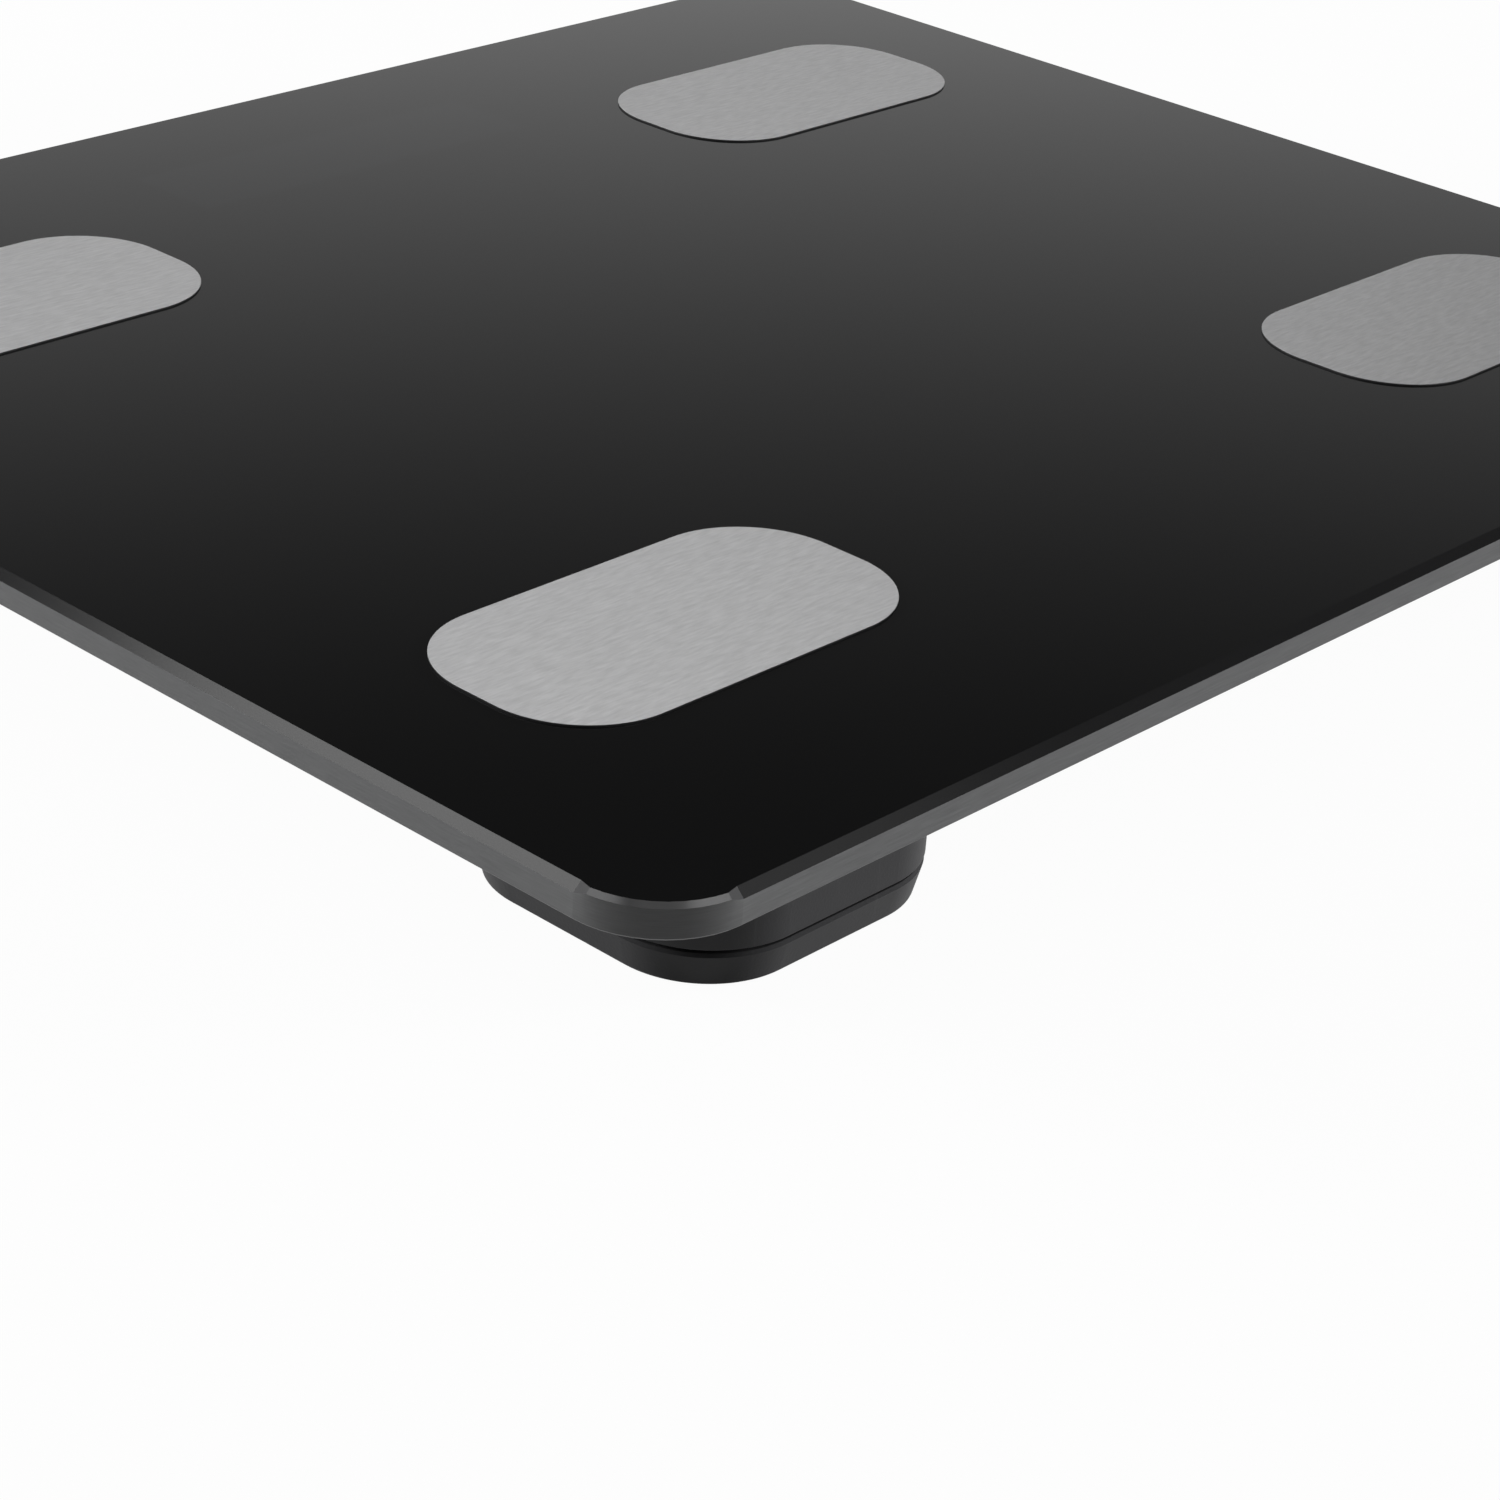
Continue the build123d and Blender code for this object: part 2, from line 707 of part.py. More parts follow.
def make_lead_connectors():
    connector_height = film_bottom - lead_clearance - board_top
    with BuildPart() as connectors:
        with BuildSketch(Plane((0, front_connector_y + connector_depth / 2, board_top))):
            with GridLocations(2 * duct_middle, 0, 2, 1):
                Rectangle(connector_width, connector_depth)
        extrude(amount=connector_height)
        with BuildSketch(Plane((0, foot_y - lead_pitch / 2, board_top))):
            with GridLocations(2 * rear_connector_x - connector_depth, 0, 2, 1):
                Rectangle(connector_depth, connector_width)
        extrude(amount=connector_height)
    save(connectors, "lead_connectors")


def make_chip(name, x, length, width, height):
    with BuildPart() as chip:
        with BuildSketch(Plane((x, board_y, board_bottom))):
            Rectangle(length, width)
        extrude(amount=-height)
    save(chip, name)


def make_display():
    frame_height = film_bottom - display_panel_thickness - board_top
    with BuildPart() as frame:
        with BuildSketch(Plane((0, board_y, board_top))):
            Rectangle(display_length, display_width)
            Rectangle(display_length - 2 * display_frame_wall, display_width - 2 * display_frame_wall,
                      mode=Mode.SUBTRACT)
        extrude(amount=frame_height)
    save(frame, "display_frame")
    with BuildPart() as panel:
        with BuildSketch(Plane((0, board_y, film_bottom))):
            Rectangle(display_length, display_width)
        extrude(amount=-display_panel_thickness)
    save(panel, "display_panel")


def battery_x(number):
    return (number - (cell_count - 1) / 2) * battery_pitch


def plus_end(number):
    # Neighbouring cells face opposite ways, so that they join in series
    return 1 if number % 2 == 0 else -1


def wall_plane(number, end):
    # On an end wall of the bay, behind one cell, with local Z pointing into the bay
    wall_y = bay_rear if end > 0 else bay_front
    return Plane(origin=(battery_x(number), wall_y, battery_z), x_dir=(1, 0, 0), z_dir=(0, -end, 0))


def make_battery_cell(number):
    plane = wall_plane(number, plus_end(number)).offset(contact_thickness)
    with BuildPart() as battery:
        with BuildSketch(plane.offset(battery_nub_height)):
            Circle(battery_radius)
        extrude(amount=battery_length - battery_nub_height)
        fillet(battery.edges().filter_by(GeomType.CIRCLE), battery_edge)
        with BuildSketch(plane):
            Circle(battery_nub_radius)
        extrude(amount=battery_nub_height)
    save(battery, f"battery_cell_{number + 1}")


def make_positive_contacts():
    with BuildPart() as contacts:
        for number in range(cell_count):
            with BuildSketch(wall_plane(number, plus_end(number))):
                RectangleRounded(contact_width, contact_height, contact_thickness)
            extrude(amount=contact_thickness)
    save(contacts, "battery_contacts_positive")


def make_negative_contacts():
    # Each strip stands on the wall, bends over and bows out to the end of its cell
    near = leaf_thickness / 2
    far = leaf_space - leaf_thickness
    tall = contact_height / 2
    with BuildPart() as contacts:
        for number in range(cell_count):
            end = -plus_end(number)
            wall = wall_plane(number, end)
            side_plane = Plane(origin=wall.origin, x_dir=wall.z_dir, z_dir=(-end, 0, 0))
            with BuildSketch(side_plane):
                with BuildLine():
                    strip = FilletPolyline((near, -tall), (near, tall), (far, 0), (far / 2, -tall / 2),
                                           radius=leaf_bend)
                trace(strip, line_width=leaf_thickness)
            extrude(amount=contact_width / 2, both=True)
    save(contacts, "battery_contacts_negative")


def make_battery_door():
    door_width = bay_width + 2 * (door_ledge - door_clearance)
    latch_y = door_rear - latch_thickness / 2
    ridge_y = bay_rear - ridge_count * ridge_spacing
    with BuildPart() as door:
        # Side profile: a plate whose front edge is round about the turning line
        with BuildSketch(Plane.YZ):
            with Locations((hinge_y, hinge_z)):
                Circle(door_nose)
            with Locations(((hinge_y + door_rear) / 2, hinge_z)):
                Rectangle(door_rear - hinge_y, door_thickness)
        extrude(amount=door_width / 2, both=True)
        fillet(door.edges().filter_by(Axis.Z).group_by(Axis.Y)[-1], door_corner)
        # Tabs that hook over the rim of the bay
        with BuildSketch(Plane((0, (door_front - tab_reach + bay_front) / 2, door_top))):
            with GridLocations(tab_spacing, 0, 2, 1):
                Rectangle(tab_width, bay_front - door_front + tab_reach)
        extrude(amount=tab_thickness)
        with BuildSketch(Plane((0, (door_front + hinge_y) / 2, door_top))):
            with GridLocations(tab_spacing, 0, 2, 1):
                Rectangle(tab_width, door_nose)
        extrude(amount=-door_nose)
        with BuildSketch(Plane((0, latch_y, door_top))):
            Rectangle(latch_width, latch_thickness)
        extrude(amount=latch_height)
        # Ridges under the fingertip
        with BuildSketch(Plane((0, ridge_y, bay_bottom))):
            with GridLocations(0, ridge_spacing, 1, ridge_count):
                SlotOverall(ridge_length, ridge_width)
        extrude(amount=ridge_depth, mode=Mode.SUBTRACT)
    save(door, "battery_door")
    print(f"battery door turns about y {hinge_y:.3f}, z {hinge_z:.3f}")


def make_unit_button():
    with BuildPart() as button:
        with BuildSketch(Plane((unit_button_x, board_y, tray_bottom))):
            Circle(unit_button_radius)
        extrude(amount=tray_floor)
        fillet(button.faces().sort_by(Axis.Z)[0].edges(), unit_button_edge)
        with BuildSketch(Plane((unit_button_x, board_y, tray_floor_top))):
            Circle(unit_button_flange_radius)
        extrude(amount=unit_button_flange)
    save(button, "unit_button")


os.makedirs("parts", exist_ok=True)
make_glass_platform()
make_backing_film()
make_electrode_terminals()
make_strain_gauges()
for corner, (side, end) in corners.items():
    make_electrode(corner, side, end)
    make_foot_housing(corner, side, end)
    make_load_cell(corner, side, end)
    make_foot(corner, side, end)
    make_foot_grip(corner, side, end)
    make_foot_screw(corner, side, end)
    make_lead(f"sensor_lead_{corner}", *sensor_route(side, end), sensor_lead_radius)
    make_lead(f"electrode_lead_{corner}", *electrode_route(side, end), electrode_lead_radius)
    make_cable_duct(corner, side, end)
make_electronics_tray()
make_main_board()
make_board_screws()
make_lead_connectors()
make_chip("processor", processor_x, processor_side, processor_side, processor_height)
make_chip("radio_module", radio_x, radio_length, radio_width, radio_height)
switch_height = board_standoff - unit_button_flange - unit_button_travel - switch_gap
make_chip("unit_switch", unit_button_x, switch_side, switch_side, switch_height)
make_display()
for number in range(cell_count):
    make_battery_cell(number)
make_positive_contacts()
make_negative_contacts()
make_battery_door()
make_unit_button()
print(f"platform top {glass_top:.2f}, overall height {glass_top + electrode_thickness:.2f}")
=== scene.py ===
import bpy
import bmesh
import json
import math
from mathutils import Matrix, Vector


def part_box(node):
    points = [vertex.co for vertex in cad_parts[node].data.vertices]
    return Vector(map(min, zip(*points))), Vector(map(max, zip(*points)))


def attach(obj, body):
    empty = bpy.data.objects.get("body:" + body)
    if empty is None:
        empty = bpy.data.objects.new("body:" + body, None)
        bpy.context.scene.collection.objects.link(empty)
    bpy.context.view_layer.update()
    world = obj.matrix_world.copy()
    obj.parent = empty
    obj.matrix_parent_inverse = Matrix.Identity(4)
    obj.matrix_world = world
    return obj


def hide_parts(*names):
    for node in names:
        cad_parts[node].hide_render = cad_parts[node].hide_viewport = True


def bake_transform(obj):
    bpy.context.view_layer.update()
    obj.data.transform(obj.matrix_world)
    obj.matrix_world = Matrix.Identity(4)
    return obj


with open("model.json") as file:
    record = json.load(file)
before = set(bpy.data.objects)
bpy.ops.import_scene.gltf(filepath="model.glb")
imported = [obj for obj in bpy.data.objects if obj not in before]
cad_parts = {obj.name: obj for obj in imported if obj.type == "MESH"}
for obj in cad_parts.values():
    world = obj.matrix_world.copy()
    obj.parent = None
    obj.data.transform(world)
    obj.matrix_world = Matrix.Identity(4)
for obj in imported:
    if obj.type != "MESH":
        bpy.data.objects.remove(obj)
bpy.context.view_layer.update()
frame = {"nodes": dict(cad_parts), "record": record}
nodes = frame["nodes"]
scene = bpy.context.scene
scene.view_settings.view_transform = "Standard"
mm = 0.001
corners = ["front_left", "front_right", "rear_left", "rear_right"]
print("frame loaded:", len(nodes), "nodes")


# Short ways to lay nodes and wires in any tree

def addNode(tree, kind, values=None, **settings):
    node = tree.nodes.new(kind)
    for key, value in settings.items():
        setattr(node, key, value)
    for key, value in (values or {}).items():
        node.inputs[key].default_value = value
    return node


def wire(tree, source, target):
    tree.links.new(source, target)


def mathNode(tree, operation, first, second=None):
    node = addNode(tree, "ShaderNodeMath", operation=operation)
    for socket, value in zip(node.inputs, (first, second)):
        if value is None:
            continue
        if isinstance(value, (int, float)):
            socket.default_value = value
        else:
            wire(tree, value, socket)
    return node.outputs["Value"]


def rangeNode(tree, source, fromLow, fromHigh, toLow, toHigh):
    node = addNode(tree, "ShaderNodeMapRange", {"From Min": fromLow, "From Max": fromHigh,
                                                "To Min": toLow, "To Max": toHigh})
    wire(tree, source, node.inputs["Value"])
    return node.outputs["Result"]


def blendColour(tree, mask, first, second):
    node = addNode(tree, "ShaderNodeMix", data_type="RGBA")
    wire(tree, mask, node.inputs["Factor"])
    for socket, value in ((node.inputs[6], first), (node.inputs[7], second)):
        if isinstance(value, tuple):
            socket.default_value = (*value, 1.0)
        else:
            wire(tree, value, socket)
    return node.outputs[2]


def blendValue(tree, mask, first, second):
    node = addNode(tree, "ShaderNodeMix", data_type="FLOAT")
    wire(tree, mask, node.inputs["Factor"])
    for socket, value in ((node.inputs[2], first), (node.inputs[3], second)):
        if isinstance(value, (int, float)):
            socket.default_value = value
        else:
            wire(tree, value, socket)
    return node.outputs[0]


def splitVector(tree, vector):
    node = addNode(tree, "ShaderNodeSeparateXYZ")
    wire(tree, vector, node.inputs["Vector"])
    return node.outputs


# Shader groups that several finishes share

noiseSpread = (0.3, 0.7)   # nearly all values of a noise lie between these


def makeGroup(name, numbers, outputs):
    group = bpy.data.node_groups.new(name, "ShaderNodeTree")
    group.interface.new_socket("Place", in_out="INPUT", socket_type="NodeSocketVector")
    for key, value in numbers.items():
        socket = group.interface.new_socket(key, in_out="INPUT", socket_type="NodeSocketFloat")
        socket.default_value = value
    for key in outputs:
        group.interface.new_socket(key, in_out="OUTPUT", socket_type="NodeSocketFloat")
    return group, addNode(group, "NodeGroupInput"), addNode(group, "NodeGroupOutput")


def makeBrushGroup():
    # Long fine lines along X, as a brushing belt leaves them, and slow cloudy patches
    numbers = {"Along": 60.0, "Across": 6000.0}
    lineSpread = (0.25, 0.75)
    cloudScale = 160.0
    group, given, result = makeGroup("brushLines", numbers, ["Lines", "Clouds"])
    stretch = addNode(group, "ShaderNodeCombineXYZ")
    wire(group, given.outputs["Along"], stretch.inputs["X"])
    wire(group, given.outputs["Across"], stretch.inputs["Y"])
    wire(group, given.outputs["Across"], stretch.inputs["Z"])
    drawn = addNode(group, "ShaderNodeVectorMath", operation="MULTIPLY")
    wire(group, given.outputs["Place"], drawn.inputs[0])
    wire(group, stretch.outputs["Vector"], drawn.inputs[1])
    lines = addNode(group, "ShaderNodeTexNoise", {"Scale": 1.0, "Detail": 3.0, "Roughness": 0.6})
    wire(group, drawn.outputs["Vector"], lines.inputs["Vector"])
    wire(group, rangeNode(group, lines.outputs["Fac"], *lineSpread, 0.0, 1.0), result.inputs["Lines"])
    clouds = addNode(group, "ShaderNodeTexNoise", {"Scale": cloudScale, "Detail": 3.0, "Roughness": 0.55})
    wire(group, given.outputs["Place"], clouds.inputs["Vector"])
    wire(group, rangeNode(group, clouds.outputs["Fac"], *noiseSpread, 0.0, 1.0), result.inputs["Clouds"])
    return group


def makeMouldGroup():
    # Spark-eroded mould skin: fine pits, and slow drifts of gloss from the flow of the plastic
    group, given, result = makeGroup("mouldSkin", {"Grain": 2500.0, "Flow": 30.0}, ["Pits", "Drift"])
    pits = addNode(group, "ShaderNodeTexNoise", {"Detail": 2.0, "Roughness": 0.5})
    wire(group, given.outputs["Place"], pits.inputs["Vector"])
    wire(group, given.outputs["Grain"], pits.inputs["Scale"])
    wire(group, rangeNode(group, pits.outputs["Fac"], *noiseSpread, 0.0, 1.0), result.inputs["Pits"])
    drift = addNode(group, "ShaderNodeTexNoise", {"Detail": 2.0, "Roughness": 0.5})
    wire(group, given.outputs["Place"], drift.inputs["Vector"])
    wire(group, given.outputs["Flow"], drift.inputs["Scale"])
    wire(group, rangeNode(group, drift.outputs["Fac"], *noiseSpread, 0.0, 1.0), result.inputs["Drift"])
    return group


def makeScuffGroup():
    # Sparse hairlines from handling, in two directions
    numbers = {"Length": 25.0, "Fineness": 900.0, "Share": 0.3}
    directions = (0.5, 2.2)      # radians
    hairlines = (0.68, 0.76)     # only the peaks of the noise show
    group, given, result = makeGroup("handlingScuffs", numbers, ["Scuffs"])
    both = []
    for turn in directions:
        turned = addNode(group, "ShaderNodeVectorRotate", {"Angle": turn}, rotation_type="Z_AXIS")
        wire(group, given.outputs["Place"], turned.inputs["Vector"])
        stretch = addNode(group, "ShaderNodeCombineXYZ")
        wire(group, given.outputs["Length"], stretch.inputs["X"])
        wire(group, given.outputs["Fineness"], stretch.inputs["Y"])
        wire(group, given.outputs["Length"], stretch.inputs["Z"])
        drawn = addNode(group, "ShaderNodeVectorMath", operation="MULTIPLY")
        wire(group, turned.outputs["Vector"], drawn.inputs[0])
        wire(group, stretch.outputs["Vector"], drawn.inputs[1])
        noise = addNode(group, "ShaderNodeTexNoise", {"Scale": 1.0, "Detail": 1.0})
        wire(group, drawn.outputs["Vector"], noise.inputs["Vector"])
        both.append(rangeNode(group, noise.outputs["Fac"], *hairlines, 0.0, 1.0))
    found = mathNode(group, "MAXIMUM", both[0], both[1])
    wire(group, mathNode(group, "MULTIPLY", found, given.outputs["Share"]), result.inputs["Scuffs"])
    return group


brushLines = makeBrushGroup()
mouldSkin = makeMouldGroup()
handlingScuffs = makeScuffGroup()
print("shared effects made")


# Finishes, one for each material slot of the record

def newFinish(name):
    material = bpy.data.materials.new(name)
    material.use_nodes = True
    tree = material.node_tree
    shader = next(node for node in tree.nodes if node.type == "BSDF_PRINCIPLED")
    place = addNode(tree, "ShaderNodeTexCoord")
    return material, tree, shader, place


def useGroup(tree, group, place, **values):
    node = addNode(tree, "ShaderNodeGroup", node_tree=group)
    wire(tree, place, node.inputs["Place"])
    for key, value in values.items():
        node.inputs[key].default_value = value
    return node


def addBump(tree, shader, height, depth, strength):
    bump = addNode(tree, "ShaderNodeBump", {"Strength": strength, "Distance": depth})
    wire(tree, height, bump.inputs["Height"])
    wire(tree, bump.outputs["Normal"], shader.inputs["Normal"])


def plasticFinish(name, look):
    material, tree, shader, place = newFinish(name)
    at = place.outputs["Object"]
    skin = useGroup(tree, mouldSkin, at, Grain=look["grain"])
    scuffs = useGroup(tree, handlingScuffs, at, Share=look["scuffs"])
    plain = blendColour(tree, skin.outputs["Drift"], look["colour"], look["paler"])
    colour = blendColour(tree, scuffs.outputs["Scuffs"], plain, look["scuffed"])
    wire(tree, colour, shader.inputs["Base Color"])
    gloss = rangeNode(tree, skin.outputs["Drift"], 0.0, 1.0, *look["gloss"])
    if "edgeGloss" in look:
        up = splitVector(tree, place.outputs["Normal"])["Z"]
        upper = rangeNode(tree, up, *look["edgeFacing"], 0.0, 1.0)
        gloss = blendValue(tree, upper, gloss, look["edgeGloss"])
    wire(tree, gloss, shader.inputs["Roughness"])
    shader.inputs["Specular IOR Level"].default_value = look["specular"]
    addBump(tree, shader, skin.outputs["Pits"], look["depth"], look["bump"])
    return material


uprightFacing = (0.25, 0.65)   # how far a normal leans from level, from a punched edge to a face


def metalFinish(name, look):
    material, tree, shader, place = newFinish(name)
    grain = useGroup(tree, brushLines, place.outputs["Object"],
                     Along=look["along"], Across=look["across"])
    brushed = blendColour(tree, grain.outputs["Lines"], look["colour"], look["paler"])
    # Punched edges stand upright and are duller than the faces; on the electrode pads their darker colour
    # is partly painted shade
    lean = mathNode(tree, "ABSOLUTE", splitVector(tree, place.outputs["Normal"])["Z"])
    upright = rangeNode(tree, lean, *uprightFacing, 1.0, 0.0)
    wire(tree, blendColour(tree, upright, brushed, look["cutEdgeAndShade"]), shader.inputs["Base Color"])
    gloss = rangeNode(tree, grain.outputs["Clouds"], 0.0, 1.0, *look["gloss"])
    wire(tree, gloss, shader.inputs["Roughness"])
    shader.inputs["Metallic"].default_value = 1.0
    addBump(tree, shader, grain.outputs["Lines"], look["depth"], look["bump"])
    return material


glassLook = {
    "top": (0.0020, 0.0020, 0.0021),      # black print seen through clear glass
    "window": (0.0040, 0.0042, 0.0046),   # smoked window over the unlit display
    "windowMargin": 3.0 * mm, "windowSoft": 0.2 * mm,
    "bevel": (0.0060, 0.0060, 0.0062),
    "cornerBevelSheen": (0.045, 0.045, 0.046),   # painted reflection: the corner bevel is made lighter to stand in for the light it reflects; the corners are also ground by hand, less evenly
    "ground": (0.055, 0.0555, 0.0565), "groundPale": (0.073, 0.074, 0.075),
    # painted shade: the ground sides are darker round the corners, where less light falls
    "shadedCornerGround": (0.040, 0.0404, 0.041), "shadedCornerPale": (0.053, 0.0537, 0.0545),
    "arris": (0.12, 0.12, 0.122),         # small chamfer along the lower edge
    "topGloss": (0.022, 0.045), "bevelGloss": 0.15, "cornerGloss": 0.24, "groundGloss": 0.50,
    "grindScale": (220.0, 220.0, 5200.0), "grindDepth": 0.02 * mm, "grindBump": 0.25,
    "wipeScale": 14.0, "refraction": 1.52,
    # Where each kind of face begins, by the Z of its normal
    "topFacing": (0.90, 0.95), "bevelFacing": (0.35, 0.45), "arrisFacing": (-0.45, -0.35),
    # and the corners, by the product of its X and Y
    "cornerFacing": (0.01, 0.10), "cornerShadeFacing": (0.03, 0.25),
}


def glassFinish(look):
    material, tree, shader, place = newFinish("black_glass")
    at = place.outputs["Object"]
    facing = splitVector(tree, place.outputs["Normal"])
    topMask = rangeNode(tree, facing["Z"], *look["topFacing"], 0.0, 1.0)
    slopeMask = rangeNode(tree, facing["Z"], *look["bevelFacing"], 0.0, 1.0)
    arrisMask = rangeNode(tree, facing["Z"], *look["arrisFacing"], 1.0, 0.0)
    turned = mathNode(tree, "ABSOLUTE", mathNode(tree, "MULTIPLY", facing["X"], facing["Y"]))
    cornerMask = rangeNode(tree, turned, *look["cornerFacing"], 0.0, 1.0)
    cornerShadeMask = rangeNode(tree, turned, *look["cornerShadeFacing"], 0.0, 1.0)

    # The display's window is a rectangle on the top face
    low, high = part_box("display_panel")
    middle = (low + high) / 2
    edge = (high - low) / 2
    spot = splitVector(tree, at)
    soft = look["windowSoft"]
    reach = []
    for axis, centre, half in (("X", middle.x, edge.x), ("Y", middle.y, edge.y)):
        away = mathNode(tree, "ABSOLUTE", mathNode(tree, "SUBTRACT", spot[axis], centre))
        limit = half - look["windowMargin"]
        reach.append(rangeNode(tree, away, limit - soft, limit + soft, 1.0, 0.0))
    windowMask = mathNode(tree, "MULTIPLY", reach[0], reach[1])

    # Fine lines run round the edge, as the grinding wheel leaves them
    grinding = addNode(tree, "ShaderNodeTexNoise", {"Scale": 1.0, "Detail": 3.0, "Roughness": 0.6})
    stretch = addNode(tree, "ShaderNodeVectorMath", {1: look["grindScale"]}, operation="MULTIPLY")
    wire(tree, at, stretch.inputs[0])
    wire(tree, stretch.outputs["Vector"], grinding.inputs["Vector"])
    grindMask = rangeNode(tree, grinding.outputs["Fac"], *noiseSpread, 0.0, 1.0)
    straight = blendColour(tree, grindMask, look["ground"], look["groundPale"])
    # painted shade: at the rounded corners the ground sides take darker copies of the ground colour
    rounded = blendColour(tree, grindMask, look["shadedCornerGround"], look["shadedCornerPale"])
    ground = blendColour(tree, cornerShadeMask, straight, rounded)
    # the corner bevel takes a painted reflection, lighter than the straight bevel
    bevel = blendColour(tree, cornerMask, look["bevel"], look["cornerBevelSheen"])

    face = blendColour(tree, windowMask, look["top"], look["window"])
    lower = blendColour(tree, arrisMask, ground, look["arris"])
    slope = blendColour(tree, slopeMask, lower, bevel)
    wire(tree, blendColour(tree, topMask, slope, face), shader.inputs["Base Color"])

    # Faint wipe marks change only the gloss of the top
    wipe = useGroup(tree, mouldSkin, at, Flow=look["wipeScale"])
    topGloss = rangeNode(tree, wipe.outputs["Drift"], 0.0, 1.0, *look["topGloss"])
    bevelGloss = blendValue(tree, cornerMask, look["bevelGloss"], look["cornerGloss"])
    slopeGloss = blendValue(tree, slopeMask, look["groundGloss"], bevelGloss)
    wire(tree, blendValue(tree, topMask, slopeGloss, topGloss), shader.inputs["Roughness"])
    shader.inputs["IOR"].default_value = look["refraction"]
    onSide = blendValue(tree, slopeMask, 1.0, 0.0)
    lines = mathNode(tree, "MULTIPLY", grindMask, onSide)
    addBump(tree, shader, lines, look["grindDepth"], look["grindBump"])
    return material


electrodeLook = {
    # painted shade: the pads' punched edges are darker, partly a duller cut edge and partly standing in
    # for the dark reflection on their thin sides
    "colour": (0.515, 0.515, 0.52), "paler": (0.655, 0.655, 0.66), "cutEdgeAndShade": (0.16, 0.16, 0.162),
    "gloss": (0.44, 0.46), "along": 320.0, "across": 1900.0, "depth": 0.01 * mm, "bump": 0.22,
}
nickelLook = {
    "colour": (0.60, 0.57, 0.52), "paler": (0.68, 0.65, 0.60), "cutEdgeAndShade": (0.56, 0.53, 0.48),
    "gloss": (0.24, 0.34), "along": 400.0, "across": 4000.0, "depth": 0.01 * mm, "bump": 0.2,
}
cellSteelLook = {
    "colour": (0.38, 0.38, 0.39), "paler": (0.46, 0.46, 0.47), "cutEdgeAndShade": (0.30, 0.30, 0.305),
    "gloss": (0.36, 0.48), "along": 300.0, "across": 3000.0, "depth": 0.01 * mm, "bump": 0.3,
}
screwLook = {
    "colour": (0.42, 0.42, 0.43), "paler": (0.52, 0.52, 0.53), "cutEdgeAndShade": (0.40, 0.40, 0.41),
    "gloss": (0.28, 0.38), "along": 1500.0, "across": 3500.0, "depth": 0.01 * mm, "bump": 0.2,
}
shieldLook = {
    "colour": (0.55, 0.55, 0.56), "paler": (0.64, 0.64, 0.65), "cutEdgeAndShade": (0.50, 0.50, 0.51),
    "gloss": (0.30, 0.38), "along": 200.0, "across": 3000.0, "depth": 0.01 * mm, "bump": 0.2,
}
footLook = {
    "colour": (0.022, 0.022, 0.023), "paler": (0.028, 0.028, 0.029), "scuffed": (0.05, 0.05, 0.052),
    "scuffs": 0.25, "gloss": (0.30, 0.36),
    "edgeGloss": 0.85, "edgeFacing": (0.05, 0.25),   # edges that face up are dull
    "grain": 2600.0, "depth": 0.03 * mm, "bump": 0.25, "specular": 0.28,
}
trayLook = {
    "colour": (0.034, 0.034, 0.035), "paler": (0.041, 0.041, 0.042), "scuffed": (0.08, 0.08, 0.082),
    "scuffs": 0.3, "gloss": (0.44, 0.52), "grain": 1800.0,
    "depth": 0.05 * mm, "bump": 0.35, "specular": 0.45,
}
ductLook = {
    "colour": (0.034, 0.034, 0.035), "paler": (0.040, 0.040, 0.041), "scuffed": (0.08, 0.08, 0.082),
    "scuffs": 0.25, "gloss": (0.46, 0.54), "grain": 2200.0,
    "depth": 0.04 * mm, "bump": 0.3, "specular": 0.45,
}
buttonLook = {
    "colour": (0.10, 0.10, 0.105), "paler": (0.115, 0.115, 0.12), "scuffed": (0.2, 0.2, 0.2),
    "scuffs": 0.2, "gloss": (0.34, 0.42), "grain": 2600.0,
    "depth": 0.03 * mm, "bump": 0.25, "specular": 0.5,
}
filmLook = {
    "colour": (0.010, 0.010, 0.011), "paler": (0.013, 0.013, 0.014), "scuffed": (0.035, 0.035, 0.036),
    "scuffs": 0.3, "gloss": (0.30, 0.40), "grain": 1500.0,
    "depth": 0.02 * mm, "bump": 0.2, "specular": 0.5,
}
rubberLook = {
    "colour": (0.016, 0.016, 0.0165), "paler": (0.024, 0.024, 0.0245), "scuffed": (0.06, 0.06, 0.06),
    "scuffs": 0.2, "gloss": (0.70, 0.82), "grain": 3500.0,
    "depth": 0.03 * mm, "bump": 0.4, "specular": 0.35,
}
resinLook = {
    "colour": (0.70, 0.66, 0.55), "paler": (0.76, 0.72, 0.62), "scuffed": (0.8, 0.78, 0.7),
    "scuffs": 0.05, "gloss": (0.22, 0.34), "grain": 700.0,
    "depth": 0.06 * mm, "bump": 0.4, "specular": 0.5,
}
sheathLook = {
    "colour": (0.045, 0.045, 0.046), "paler": (0.06, 0.06, 0.061), "scuffed": (0.1, 0.1, 0.1),
    "scuffs": 0.1, "gloss": (0.42, 0.5), "grain": 3000.0,
    "depth": 0.02 * mm, "bump": 0.2, "specular": 0.5,
}
nylonLook = {
    "colour": (0.74, 0.72, 0.66), "paler": (0.80, 0.78, 0.73), "scuffed": (0.86, 0.85, 0.82),
    "scuffs": 0.1, "gloss": (0.38, 0.46), "grain": 2500.0,
    "depth": 0.03 * mm, "bump": 0.25, "specular": 0.5,
}
chipLook = {
    "colour": (0.018, 0.018, 0.019), "paler": (0.024, 0.024, 0.025), "scuffed": (0.06, 0.06, 0.06),
    "scuffs": 0.1, "gloss": (0.5, 0.6), "grain": 4500.0,
    "depth": 0.02 * mm, "bump": 0.35, "specular": 0.4,
}
